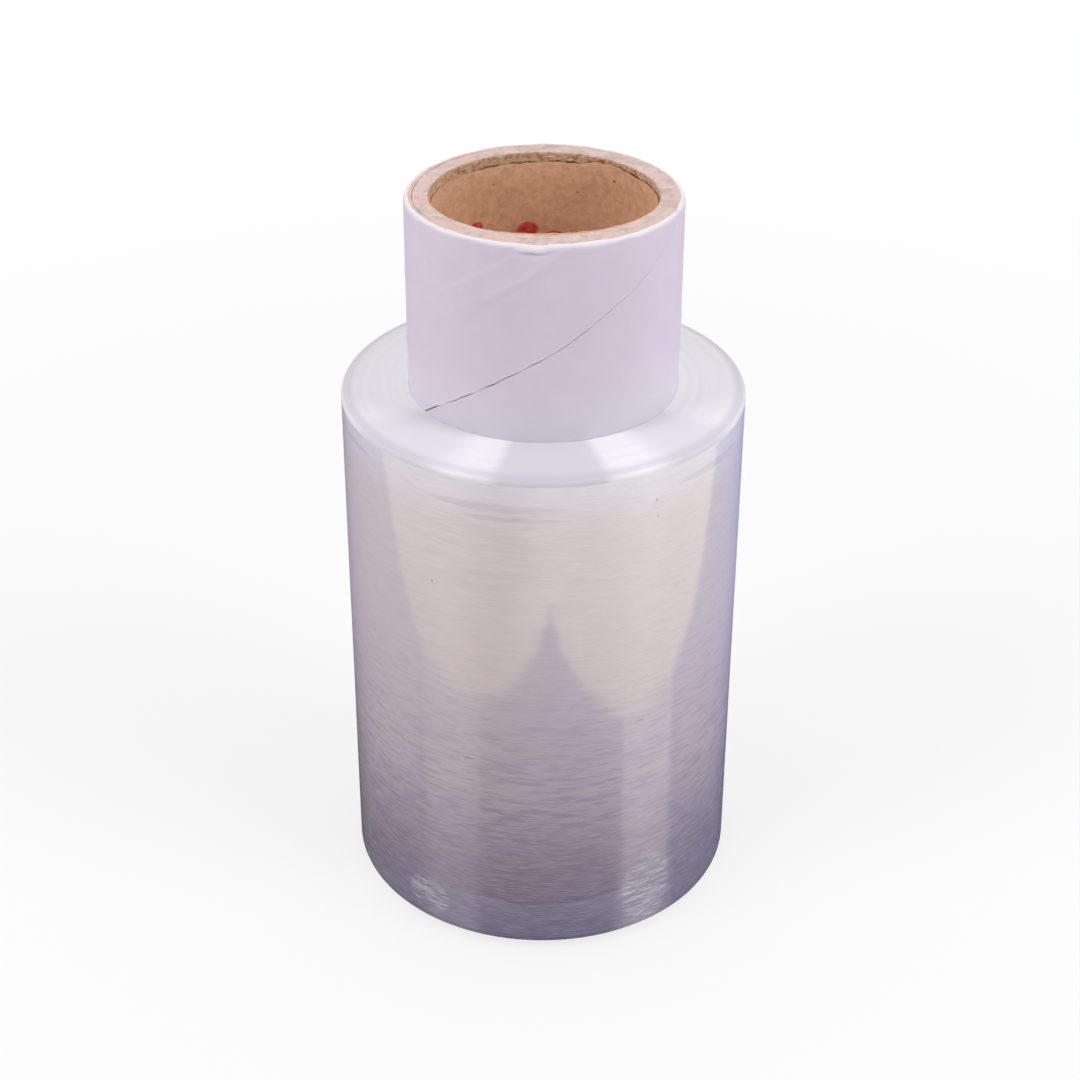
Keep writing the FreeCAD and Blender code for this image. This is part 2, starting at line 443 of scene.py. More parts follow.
# Where the rim was knocked, the fold is painted white as its highlight, with a painted shadow under it
FOLD_HIGHLIGHTS = (
    (-95.5, -0.5, 2.6, 0.62), (-92.0, -0.45, 1.4, 0.84),
)
FOLD_SHADOW = (-94.5, 0.55, 2.4, 0.35)
# Low ridges in the paper, from the joint of the ply below: share of the seam's lead above the seam, height
RIDGES = ((0.165, 0.2 * MM), (0.30, 0.14 * MM), (0.72, 0.14 * MM))


def paper_material(settings, name="white paper", edge=False):
    """Smooth white paper with a worn whiter rim, or its cut edge; with painted highlights on the lip, the
    fold and the ridges, and painted light and shade by the film.
    """
    material, tree, shader = new_material(name)
    place, x, y, z = place_of(tree)
    fibres = use_group(tree, fibres_group(), {"Place": place, "Fibre": 1.1 * MM})
    plain = settings.paper_colour
    worn = linear(236, 229, 233)
    if edge:
        plain = worn
    clouds = ramp(tree, noise(tree, place, 34.0, 2.0), 0.35, 0.65)
    colour = blend(tree, clouds, tinted(plain, 0.97, 0.94, 0.96), plain)
    mottle = times(tree, fibres["Mottle"], 0.35)
    colour = blend(tree, mottle, colour, scaled(plain, 0.9))
    reach = from_axis(tree, x, y)
    # The rolled lip is worn whiter and is also painted as a highlight; the knocked fold gets a painted
    # highlight and a painted shadow under it
    rolled = ramp(tree, reach, PAPER_RADIUS - 0.25 * MM, PAPER_RADIUS - 0.02 * MM, 1.0, 0.0)
    fold_highlight = ovals(tree, x, y, minus(tree, CORE_LENGTH, z), PAPER_RADIUS, FOLD_HIGHLIGHTS)
    lip = times(tree, calculate(tree, "MAXIMUM", fold_highlight, rolled), ramp(tree, z, 0.1, 0.12))
    painted_fold_shadow = ovals(tree, x, y, minus(tree, CORE_LENGTH, z), PAPER_RADIUS, (FOLD_SHADOW,))
    colour = blend(tree, times(tree, painted_fold_shadow, 0.5), colour, scaled(plain, 0.72))
    colour = blend(tree, lip, colour, worn)
    turn = calculate(tree, "ARCTAN2", y, x)
    along = times(tree, turn, settings.seam_lead / (2 * math.pi))
    climb = calculate(tree, "DIVIDE", minus(tree, z, along), settings.seam_lead)
    # A painted highlight along each low ridge of the ply below
    for place_on_lead, _ in RIDGES:
        lowest = settings.seam_height / settings.seam_lead - 0.25 + place_on_lead - 0.5
        part = calculate(tree, "FRACT", minus(tree, climb, lowest))
        off = calculate(tree, "ABSOLUTE", minus(tree, part, 0.5))
        ridge = ramp(tree, off, 0.0, 0.9 * MM / settings.seam_lead, 0.32, 0.0)
        ridge = times(tree, ridge, ramp(tree, noise(tree, place, 60.0), 0.35, 0.6))
        colour = blend(tree, ridge, colour, worn)
    # Painted light: the paper just above the film is painted paler and cool, for the light that the film's
    # end throws on it
    milky = ramp(tree, z, FILM_TOP - 2 * MM, FILM_TOP + 13 * MM, 0.6, 0.0)
    colour = blend(tree, milky, colour, linear(232, 232, 241))
    # Painted shadow: the paper under the film is darker, as the film shades it
    painted_film_shadow = ramp(tree, z, FILM_TOP - 3 * MM, FILM_TOP - 0.5 * MM, 1.0, 0.0)
    colour = blend(tree, painted_film_shadow, colour, tinted(plain, 0.60, 0.55, 0.55))
    feed(
        tree, shader, Base_Color=colour, Roughness=0.62, Specular_IOR_Level=0.3,
        Normal=bump(tree, fibres["Height"], 0.012 * MM),
    )
    return material


# Dirt on the film's wall, with depths from the top of the film
WALL_SPECKS = (
    (-57.8, 7.2, 0.22, 0.25), (-57.2, 10.4, 0.18, 0.16), (-121.8, 23.2, 0.3, 0.22),
    (-61.0, 51.4, 0.9, 0.12), (-111.0, 58.3, 1.1, 0.12), (40.0, 33.0, 0.3, 0.2), (150.0, 60.0, 0.9, 0.12),
)
# Where the film is crinkled near the foot, and where its turns are smudged
CRINKLES = (
    (-57.0, 90.0, 5.5, 8.0), (-126.0, 93.0, 4.5, 4.0), (75.0, 88.0, 6.0, 6.0),
)
SMUDGES = (
    (-106.0, 14.5, 11.0, 11.0), (-172.0, 12.0, 7.0, 10.0), (-8.0, 12.0, 7.0, 10.0), (60.0, 20.0, 10.0, 7.0),
)
# Edges of the last turns, which show as faint lines
TURN_EDGES = (
    (-103.0, 6.3, 13.0, 0.8), (-98.0, 8.3, 9.0, 0.5), (-36.0, 5.4, 9.0, 0.7), (-160.0, 4.6, 9.0, 0.7),
    (80.0, 6.0, 16.0, 0.8),
)


def film_wall_material(settings):
    """Wound clear film from the side: fine streaks, a clear gloss, and a little see-through."""
    material, tree, shader = new_material("film wall")
    place, x, y, z = place_of(tree)
    depth = minus(tree, FILM_TOP, z)
    turns = use_group(tree, turns_group(), {
        "Place": place, "Across": z, "Length": 2.8 * MM, "Thickness": 0.17 * MM, "Waver": 0.6 * MM,
    })
    smears = use_group(tree, turns_group(), {
        "Place": place, "Across": z, "Length": 14 * MM, "Thickness": 1.5 * MM, "Waver": 4 * MM,
    })
    # The wall grows lighter from the foot up: painted shade low down and painted light near the shoulder,
    # over the film's own tone
    middle = FILM_BOTTOM + 0.36 * (FILM_TOP - FILM_BOTTOM)
    lower = ramp(tree, z, FILM_BOTTOM, middle, smooth=False)
    upper = ramp(tree, z, middle, FILM_TOP, smooth=False)
    colour = blend(tree, lower, settings.foot_colour, settings.middle_colour)
    colour = blend(tree, upper, colour, settings.wall_colour)
    # Painted light: the upper turns are painted cool and pale like the end, for the light that comes in
    # through the end
    pale = ramp(tree, depth, 0.5 * MM, 12 * MM, 0.95, 0.0)
    colour = blend(tree, pale, colour, settings.shoulder_colour)
    lively = ramp(tree, z, 0.03, 0.07, 1.0, 0.2)
    bluish = times(tree, times(tree, smears["Fine"], lively), 0.13)
    colour = blend(tree, bluish, colour, scaled(settings.deep_colour, 2.5))
    light = times(tree, ramp(tree, turns["Fine"], 0.3, 1.0), 0.36)
    colour = blend(tree, times(tree, light, lively), colour, (0.8, 0.78, 0.82))
    dark = times(tree, ramp(tree, turns["Broad"], 0.4, 1.0), 0.26)
    colour = blend(tree, times(tree, dark, lively), colour, settings.foot_colour)
    smeared = ramp(tree, smears["Fine"], 0.2, 0.9, 0.0, 0.06)
    smudge = times(tree, ovals(tree, x, y, depth, FILM_RADIUS, SMUDGES), smeared)
    colour = blend(tree, smudge, colour, scaled(settings.foot_colour, 1.3))
    # The edge of the last turns shows as a faint line some way below the shoulder
    line = times(tree, ovals(tree, x, y, depth, FILM_RADIUS, TURN_EDGES), 0.15)
    colour = blend(tree, line, colour, settings.foot_colour)
    specks = ovals(tree, x, y, depth, FILM_RADIUS, WALL_SPECKS)
    colour = blend(tree, times(tree, specks, 0.6), colour, settings.foot_colour)
    # Crinkled turns catch the light in short streaks: painted highlights, over the stronger bump that the
    # crinkles get
    crinkled = ovals(tree, x, y, depth, FILM_RADIUS, CRINKLES)
    creases = use_group(tree, turns_group(), {
        "Place": place, "Across": z, "Length": 5 * MM, "Thickness": 0.32 * MM, "Waver": 3 * MM,
    })
    painted_glints = times(tree, ramp(tree, creases["Fine"], 0.42, 0.8, 0.0, 0.9), crinkled)
    colour = blend(tree, painted_glints, colour, linear(255, 252, 252))
    colour = blend(tree, inner_side(tree), colour, settings.deep_colour)
    cover = ramp(tree, z, FILM_BOTTOM, FILM_TOP, settings.lower_cover, settings.upper_cover)
    cover = plus(tree, cover, times(tree, turns["Fine"], 0.06))
    shadow = node(tree, "ShaderNodeLightPath").outputs["Is Shadow Ray"]
    alpha = times(tree, cover, minus(tree, 1.0, times(tree, shadow, 0.75)))
    relief = times(tree, turns["Height"], plus(tree, 1.0, times(tree, crinkled, 6.0)))
    feed(
        tree, shader, Base_Color=colour, Roughness=0.5, IOR=1.8, Alpha=alpha, Tangent=round_axis(tree),
        Anisotropic=1.0, Anisotropic_Rotation=0.25, Coat_Weight=1.0, Coat_IOR=2.5, Coat_Roughness=0.08,
        Normal=bump(tree, relief, 0.012 * MM),
    )
    return material


# Painted shade on the ends: sectors painted duller, to shape the highlights between them. From one angle to
# another, how far the borders fade, in degrees, and what is left of the white
PAINTED_SHADE_SECTORS = ((-103.5, -72, 2.5, 0.78), (-151, -118, 7, 0.85), (-54, -30, 6, 0.85))


def film_end_material(settings):
    """The stacked edges of the turns: milky white with faint rings."""
    material, tree, shader = new_material("film ends")
    place, x, y, _ = place_of(tree)
    out = from_axis(tree, x, y)
    turns = use_group(tree, turns_group(), {
        "Place": place, "Across": out, "Length": 30 * MM, "Thickness": 0.3 * MM, "Waver": 0.8 * MM,
    })
    white = settings.end_colour
    grey = tinted(white, 0.955, 0.96, 0.97)
    colour = blend(tree, turns["Broad"], grey, white)
    turn = times(tree, calculate(tree, "ARCTAN2", y, x), 180 / math.pi)
    # Painted shade in the duller sectors
    for first, last, fade, left in PAINTED_SHADE_SECTORS:
        begun = ramp(tree, turn, first - fade, first + fade)
        dull = times(tree, begun, ramp(tree, turn, last - fade, last + fade, 1.0, 0.0))
        colour = blend(tree, dull, colour, tinted(scaled(white, left), 1.0, 0.99, 1.02))
    # Painted shade: the last turns round over the shoulder, and are painted cool and grey there
    greyed = ramp(tree, out, FILM_RADIUS - 2.6 * MM, FILM_RADIUS - 1 * MM, 0.0, 0.55)
    edge = ramp(tree, out, FILM_RADIUS - 0.6 * MM, FILM_RADIUS - 0.2 * MM, 1.0, 0.1)
    painted_shoulder_shade = times(tree, greyed, edge)
    colour = blend(tree, painted_shoulder_shade, colour, tinted(white, 0.64, 0.65, 0.72))
    colour = blend(tree, inner_side(tree), colour, settings.inside_colour)
    feed(
        tree, shader, Base_Color=colour, Roughness=0.38, IOR=1.7, Tangent=round_axis(tree),
        Anisotropic=1.0, Anisotropic_Rotation=0.25,
    )
    return material


def film_core_side_material(settings):
    """The film's inner side, pressed on the paper and almost clear."""
    material, tree, shader = new_material("film on core")
    place, _, _, z = place_of(tree)
    turns = use_group(tree, turns_group(), {"Place": place, "Across": z})
    alpha = ramp(tree, turns["Fine"], 0.0, 1.0, 0.04, 0.12)
    feed(tree, shader, Base_Color=(*settings.end_colour, 1.0), Roughness=0.4, Alpha=alpha)
    return material


# Meshes


def waves(angle, seed, slowest, fastest):
    """A smooth random wave round the axis that closes on itself, from about -1 to 1."""
    draw = np.random.RandomState(seed)
    total = np.zeros_like(angle)
    for count in range(slowest, fastest + 1):
        total += draw.normal() * np.sin(count * angle + draw.uniform(0, 2 * math.pi))
    return total / math.sqrt(fastest - slowest + 1)


def add_object(name, data):
    """A new object in the scene."""
    made = bpy.data.objects.new(name, data)
    bpy.context.scene.collection.objects.link(made)
    return made


def build_grid(name, radius, height, angle, face_material, closed_across=True, closed_round=True):
    """A mesh from rows of points round the axis. Arrays are rows by columns."""
    rows, columns = radius.shape
    points = np.stack([radius * np.cos(angle), radius * np.sin(angle), height], axis=2).reshape(-1, 3)
    last_row = rows if closed_across else rows - 1
    last_column = columns if closed_round else columns - 1
    faces = []
    materials = []
    for row in range(last_row):
        above = (row + 1) % rows
        for column in range(last_column):
            aside = (column + 1) % columns
            faces.append((row * columns + column, above * columns + column,
                          above * columns + aside, row * columns + aside))
            materials.append(face_material[row])
    mesh = bpy.data.meshes.new(name)
    mesh.from_pydata(points.tolist(), [], faces)
    mesh.polygons.foreach_set("material_index", materials)
    mesh.polygons.foreach_set("use_smooth", [True] * len(faces))
    mesh.validate()
    mesh.set_sharp_from_angle(angle=math.radians(38))
    return add_object(name, mesh)


def finish_piece(piece, node_name, materials):
    """Gives a piece its materials and its body, and hides the imported part that it stands for."""
    for material in materials:
        piece.data.materials.append(material)
    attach(piece, BODY)
    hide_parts(node_name)


def angles(columns):
    """Even steps once round the axis."""
    return np.arange(columns) * 2 * math.pi / columns


def straight(first, last, count):
    """Pairs from first to last, without the last."""
    shares = np.arange(count) / count
    return [(first[0] + (last[0] - first[0]) * s, first[1] + (last[1] - first[1]) * s) for s in shares]


BOARD_COLUMNS = 300
BOARD_PLIES = 4
# Depth of the torn inner ply below the rim: angle round the axis in degrees, depth in millimetres
TEAR = (
    (-180, 1.7), (-140, 0.7), (-90, 0.2), (-45, 0.4), (0, 1.0), (34, 1.4), (52, 0.8), (62, 0.9), (72, 1.75),
    (90, 1.85), (140, 2.0), (180, 1.7),
)


def tear_depth(angle):
    """How far below the rim the inner ply is torn, at each angle."""
    degrees = np.mod(np.degrees(angle) + 180, 360) - 180
    depth = np.interp(degrees, [point[0] for point in TEAR], [point[1] * MM for point in TEAR])
    return depth + 0.07 * MM * waves(angle, 4, 8, 60)


def nearness(height):
    """0 up to 4 mm below the rim, and from there up to 1 at the rim."""
    return np.clip((height - (CORE_LENGTH - 4 * MM)) / (4 * MM), 0, 1)


def rim_lift(angle, radius):
    """How far the sawn end rises above square: towards the front, and most at its inner edge."""
    front = np.clip(-np.sin(angle), 0, 1) ** 0.65
    inward = (BOARD_RADIUS - radius) / (BOARD_RADIUS - BORE_RADIUS)
    return front * (0.95 + 0.25 * inward) * MM


def board_section(settings):
    """The board tube's section as (part, radius, height), from the foot of the bore round to the foot again.

    Heights of the liner are taken from the torn edge, and those of the rim from the tube's end."""
    ply = (BOARD_RADIUS - BORE_RADIUS) / BOARD_PLIES
    section = [("bore", BORE_RADIUS, share / 30) for share in range(30)]
    section += [("liner", BORE_RADIUS + r * MM, z * MM) for r, z in ((0.0, -0.05), (0.04, 0.04))]
    section += [("crevice", BORE_RADIUS + r * MM, z * MM) for r, z in (
        (0.14, 0.02), (0.19, -0.9), (0.50, -0.95),
    )]
    section += [("band", BORE_RADIUS + r * MM, share) for r, share in (
        (0.53, 0.07), (0.53, 0.15), (0.50, 0.25), (0.56, 0.38), (0.51, 0.5), (0.58, 0.62),
        (0.53, 0.75), (0.58, 0.88),
    )]
    section += [("rim", BORE_RADIUS + r * MM, z * MM) for r, z in ((0.63, -0.14), (0.72, -0.04))]
    for number in range(1, BOARD_PLIES):
        edge = BORE_RADIUS + number * ply
        section += [(part, edge + r * MM, z * MM) for part, r, z in (
            ("rim", -0.3, 0), ("rim", -0.1, -0.01), ("gap", 0, -0.05), ("rim", 0.1, -0.01), ("rim", 0.35, 0),
        )]
    worn = settings.lip_round
    inner = BOARD_RADIUS - worn + 0.28 * MM
    for step in range(7):
        bend = math.pi / 2 * (1 - step / 6)
        section.append(("rim", inner + (worn - 0.3 * MM) * math.cos(bend),
                        (worn - 0.3 * MM) * (math.sin(bend) - 1) - 0.02 * MM))
    section += [("side", BOARD_RADIUS - 0.02 * MM, CORE_LENGTH - z * MM) for z in (2, 6, 20, 60, 134.9)]
    section += [("foot", r, z) for r, z in straight((BOARD_RADIUS - 0.02 * MM, 0), (BORE_RADIUS, 0), 12)]
    return section


def build_board(settings):
    """The board tube, with plies at its rim and the torn inner ply."""
    section = board_section(settings)
    angle = angles(BOARD_COLUMNS)
    tear = tear_depth(angle)
    torn = CORE_LENGTH - tear
    radius = np.array([[r] * BOARD_COLUMNS for _, r, _ in section])
    height = np.array([[z] * BOARD_COLUMNS for _, _, z in section])
    rough = 0.03 * MM
    left = np.clip(np.cos(angle - math.radians(130)), 0, 1)
    for row, (part, r, z) in enumerate(section):
        if part == "bore":
            height[row] = z * (torn - 0.1 * MM)
        if part == "liner":
            height[row] = torn + z
        if part == "crevice":
            height[row] = torn + z * (0.15 + 0.85 * np.clip(np.sin(angle), 0, 1) ** 0.7)
        if part == "band":
            height[row] = torn + (CORE_LENGTH - 0.2 * MM - torn) * z
            radius[row] += 0.07 * MM * waves(angle, 40 + row // 2, 12, 110)
            height[row] += 0.03 * MM * waves(angle, 140 + row, 6, 90)
        if part in ("rim", "gap"):
            fray = rough * waves(angle, 60 + row // 4, 6, 70) + 0.02 * MM * waves(angle, 90 + row, 20, 90)
            height[row] = CORE_LENGTH + z + np.minimum(fray, 0.05 * MM) - 0.05 * MM
            if part == "gap" and r > BOARD_RADIUS - 1.5 * MM:
                height[row] -= 0.25 * MM * left
        near_top = nearness(height[row])
        height[row] += near_top * rim_lift(angle, radius[row])
        narrow = np.clip((BORE_RADIUS + 1 * MM - radius[row]) / MM, 0, 1)
        radius[row] -= 0.4 * MM * narrow * near_top * np.clip(-np.sin(angle), 0, 1) ** 1.3
    slots = {"bore": 0, "liner": 0, "band": 0, "rim": 1, "gap": 1, "side": 1, "foot": 1, "crevice": 2}
    piece = build_grid("board_tube", radius, height, angle, [slots[part] for part, _, _ in section])
    finish_piece(piece, "core_tube", [
        bore_material(settings), cut_board_material(settings), crevice_material(settings),
    ])
    return piece


PAPER_STEPS_PER_TURN = 256
PAPER_ROWS = 56


def bell(offset, width):
    """A smooth bump of height 1 that fades out over about its width."""
    return np.exp(-((offset / width) ** 2))


def paper_surface(settings, angle, height, inner):
    """The paper's radius and height, with its worn lip, low ridges and the knocked spot."""
    # The ply below has its own joint, which shows as low ridges
    lead = settings.seam_lead
    climb = (height - settings.seam_height - lead * (angle + math.pi / 2) / (2 * math.pi)) / lead
    radius = np.full_like(height, PAPER_RADIUS)
    for place, size in RIDGES:
        from_ridge = (np.mod(climb - place + 0.5, 1.0) - 0.5) * lead
        radius = radius + size * bell(from_ridge, 0.55 * MM) * (0.7 + 0.3 * waves(angle, 14, 3, 12))
    radius = radius + 0.015 * MM * waves(angle, 11, 2, 9) * np.cos(height / (9 * MM))
    # The edges at the open joint lift a little
    from_seam = np.abs((np.mod(climb + 0.5, 1.0) - 0.5) * lead)
    radius = radius + 0.05 * MM * np.exp(-from_seam / (0.5 * MM))
    # The rim is worn round, and rolls over the board's edge
    worn = settings.lip_round * (1 + 0.12 * waves(angle, 12, 2, 24))
    drop = np.clip((height - (CORE_LENGTH - worn)) / worn, 0, 1)
    radius = radius - worn * (1 - np.sqrt(np.clip(1 - drop * drop, 0, 1)))
    rise = 0.04 * MM * waves(angle, 13, 4, 40) * drop + rim_lift(angle, radius) * nearness(height)
    # One spot at the front was knocked, and the paper folds out and down there
    aside = (np.mod(angle + math.radians(93.0) + math.pi, 2 * math.pi) - math.pi) * PAPER_RADIUS
    below = CORE_LENGTH - height
    knock = bell(aside, 1.5 * MM) * bell(below - 0.3 * MM, 0.6 * MM)
    radius = radius + 0.26 * MM * knock
    rise = rise - 0.35 * MM * bell(aside, 2 * MM) * bell(below - 0.8 * MM, 0.8 * MM)
    radius = radius - 0.18 * MM * bell(aside, 2.6 * MM) * bell(below - 1.3 * MM, 0.5 * MM)
    if inner:
        radius = np.minimum(radius - 0.2 * MM * (1 - 0.5 * drop), BOARD_RADIUS + 0.12 * MM)
        rise = rise - 0.2 * MM * drop
    return radius, height + rise


def build_paper(settings):
    """The outer paper as one strip, wound as a helix with its edges almost meeting."""
    lead = settings.seam_lead
    start = settings.seam_height - lead * 2
    turns = (CORE_LENGTH - start + lead) / lead
    steps = int(turns * PAPER_STEPS_PER_TURN)
    angle = -math.pi / 2 + np.arange(steps + 1) * 2 * math.pi / PAPER_STEPS_PER_TURN
    seam = start + lead * (angle + math.pi / 2) / (2 * math.pi)
    wander = 0.10 * MM * waves(angle, 8, 3, 14) + 0.05 * MM * waves(angle, 9, 20, 70)
    nearly_shut = 0.25 + 0.75 * np.clip((CORE_LENGTH - 6 * MM - seam) / (10 * MM), 0, 1)
    gap = settings.seam_gap * nearly_shut * (1 + 0.6 * waves(angle, 10, 8, 40))
    gap = np.clip(gap, 0.02 * MM, 0.5 * MM)
    shut_below = np.roll(gap, PAPER_STEPS_PER_TURN)
    low = np.clip(seam - lead + shut_below / 2 + wander, 0, CORE_LENGTH)
    high = np.clip(seam - gap / 2 + wander, 0, CORE_LENGTH)
    keep = high - low > 0.02 * MM
    angle, low, high = angle[keep], low[keep], high[keep]
    # Rows crowd towards the two edges of the strip
    even = np.linspace(-1, 1, PAPER_ROWS)
    share = 0.5 + 0.5 * np.sin(even * math.pi / 2)
    height = low[None, :] + (high - low)[None, :] * share[:, None]
    around = np.repeat(angle[None, :], PAPER_ROWS, axis=0)
    outside, outside_height = paper_surface(settings, around, height, inner=False)
    inside, inside_height = paper_surface(settings, around, height, inner=True)
    radius = np.vstack([outside, inside[::-1]])
    heights = np.vstack([outside_height, inside_height[::-1]])
    around = np.vstack([around, around[::-1]])
    material = [0] * (PAPER_ROWS - 1) + [1] + [0] * (PAPER_ROWS - 1) + [1]
    piece = build_grid("paper_strip", radius, heights, around, material, closed_round=False)
    close_strip_ends(piece)
    finish_piece(piece, "outer_paper", [
        paper_material(settings), paper_material(settings, "paper edge", edge=True),
    ])
    return piece


def close_strip_ends(piece):
    """Closes the two pointed ends of the strip."""
    shape = bmesh.new()
    shape.from_mesh(piece.data)
    open_edges = [edge for edge in shape.edges if edge.is_boundary]
    bmesh.ops.holes_fill(shape, edges=open_edges, sides=0)
    bmesh.ops.recalc_face_normals(shape, faces=shape.faces)
    shape.to_mesh(piece.data)
    shape.free()


FILM_COLUMNS = 240
END_RINGS = 52
WALL_ROWS = 190


def film_section(settings):
    """The film's section as (part, radius, height), from the foot of the core side round to it again."""
    inside = PAPER_RADIUS + 0.03 * MM
    foot, shoulder = settings.foot_round, settings.shoulder_round
    wall_bottom = FILM_BOTTOM + settings.end_fall + foot
    wall_top = FILM_TOP - settings.end_fall - shoulder
    section = [("core", r, z) for r, z in straight((inside, FILM_BOTTOM), (inside, FILM_TOP), 14)]
    section += [("end", r, z) for r, z in straight(
        (inside, FILM_TOP), (FILM_RADIUS - shoulder, FILM_TOP - settings.end_fall), END_RINGS)]
    for step in range(8):
        bend = math.pi / 2 * (1 - step / 8)
        section.append(("shoulder", FILM_RADIUS - shoulder + shoulder * math.cos(bend),
                        wall_top + shoulder * math.sin(bend)))
    section += [("wall", r, z) for r, z in straight(
        (FILM_RADIUS, wall_top), (FILM_RADIUS, wall_bottom), WALL_ROWS)]
    for step in range(8):
        bend = math.pi / 2 * step / 8
        section.append(("foot", FILM_RADIUS - foot + foot * math.cos(bend),
                        wall_bottom - foot * math.sin(bend)))
    section += [("end", r, z) for r, z in straight(
        (FILM_RADIUS - foot, FILM_BOTTOM + settings.end_fall), (inside, FILM_BOTTOM), END_RINGS)]
    return section


def build_film(settings):
    """The wound film: uneven rings at its ends, bands on its wall, and the loose end at the back."""
    section = film_section(settings)
    angle = angles(FILM_COLUMNS)
    rows = len(section)
    radius = np.array([[r] * FILM_COLUMNS for _, r, _ in section])
    height = np.array([[z] * FILM_COLUMNS for _, _, z in section])
    draw = np.random.RandomState(17)
    # Neighbouring turns stand at slightly different heights, and each band of the wall at its own radius
    for row, (part, _, z) in enumerate(section):
        inward = -1 if z > CORE_LENGTH / 2 else 1
        ring = settings.ring_depth * (draw.uniform(0, 1) + 0.25 * waves(angle, 100 + row, 1, 5))
        if part == "end":
            height[row] += inward * np.clip(ring, 0, 2 * settings.ring_depth)
        if part in ("shoulder", "foot"):
            radius[row] -= 0.4 * np.abs(ring)
    band = np.cumsum(draw.normal(size=rows))
    band -= np.convolve(band, np.ones(25) / 25, mode="same")
    band /= np.abs(band).max()
    for row, (part, _, _) in enumerate(section):
        if part == "wall":
            creep = waves(angle + 0.03 * row, 200, 1, 4)
            radius[row] += settings.band_depth * (0.5 * band[row] + 0.35 * creep - 0.4)
    # The loose end is a step down the back, which fades out round the roll
    after = np.mod(math.pi / 2 - angle, 2 * math.pi)
    step = settings.tail_step * np.clip(1 - after / 0.35, 0, 1)
    for row, (part, _, _) in enumerate(section):
        if part in ("shoulder", "wall", "foot"):
            radius[row] -= step
    slots = {"wall": 0, "shoulder": 1, "foot": 0, "end": 1, "core": 2}
    material = [slots[part] for part, _, _ in section]
    piece = build_grid("wound_film", radius, height, angle, material)
    finish_piece(piece, "film_roll", [
        film_wall_material(settings), film_end_material(settings), film_core_side_material(settings),
    ])
    return piece


# Stage

# The camera that the roll's outline in the photo gives
CAMERA_PLACE = Vector((0, -0.35243, 0.27989))
CAMERA_AIM = Vector((-0.00049, 0, 0.06712))
CAMERA_LENS = 74.70
CAMERA_ROLL = math.radians(0.233)


def add_camera():
    """The camera, at the photo's viewing angle."""
    data = bpy.data.cameras.new("camera")
    data.lens = CAMERA_LENS
    data.sensor_width = 36.0
    data.clip_start = 0.01
    camera = add_object("camera", data)
    camera.location = CAMERA_PLACE
    camera.rotation_mode = "QUATERNION"
    aim = (CAMERA_AIM - CAMERA_PLACE).to_track_quat("-Z", "Y")
    camera.rotation_quaternion = aim @ Quaternion((0, 0, 1), CAMERA_ROLL)
    bpy.context.scene.camera = camera


# The soft lamps: name, direction round the axis and height in degrees, share of the power, colour
LAMPS = (("left_lamp", -149, 44, 1.0, (1, 0.97, 0.985)), ("right_lamp", -26, 42, 1.06, (0.98, 0.985, 1)))
LAMP_DISTANCE = 0.8
LAMP_SIZE = (0.26, 0.44)


def add_lamp(name, azimuth, elevation, power, colour):
    """A soft lamp that looks at the middle of the roll."""
    data = bpy.data.lights.new(name, "AREA")
    data.shape = "RECTANGLE"
    data.size, data.size_y = LAMP_SIZE
    data.energy = power
    data.color = colour
    lamp = add_object(name, data)
    middle = Vector((0, 0, CORE_LENGTH / 2))
    a, e = math.radians(azimuth), math.radians(elevation)
    away = Vector((math.cos(a) * math.cos(e), math.sin(a) * math.cos(e), math.sin(e)))
    lamp.location = middle + away * LAMP_DISTANCE
    lamp.rotation_mode = "QUATERNION"
    lamp.rotation_quaternion = (-away).to_track_quat("-Z", "Y")


# Two painted patches of light lie on the sheet that the film mirrors, each between two lines that start at
# the roll's foot. A line is given by its place on the foot in degrees round the axis, and the direction that
# it runs in
LIGHT_PATCHES = (((-65, -40), (-48, -6), 0.7), ((-109, -128), (-128, -166), 0.2))

# A painted reflection: what the film mirrors of the floor is a glow that only gloss sees, with a painted
# shadow on the sheet near the roll. Each colour is given at the left and at the right
SHADED_NEAR_SHEET = (linear(62, 52, 70), linear(62, 64, 116))
FAR_SHEET = (linear(140, 134, 159), linear(142, 150, 204))
BRIGHT_TABLE = (linear(221, 209, 203), linear(255, 248, 242))
PATCH_COLOUR = linear(236, 226, 240)

# The bright table lies outside these two edges of the floor near the roll: the direction of the edge's
# normal in degrees, and its distance from the roll's axis
TABLE_EDGES = ((-127.6, 110.6 * MM), (-40.5, 103.7 * MM))


def left_of_line(tree, x, y, foot, direction, side=1):
    """1 on one side of a line on the floor that starts at the roll's foot, 0 on the other."""
    start = Vector((math.cos(math.radians(foot)), math.sin(math.radians(foot)))) * FILM_RADIUS
    turn = 1 if foot > -90 else -1
    across = Vector((-math.sin(math.radians(direction)), math.cos(math.radians(direction)))) * turn * side
    off = plus(tree, times(tree, x, across.x), times(tree, y, across.y))
    return ramp(tree, minus(tree, off, start.dot(across)), -3 * MM, 3 * MM)


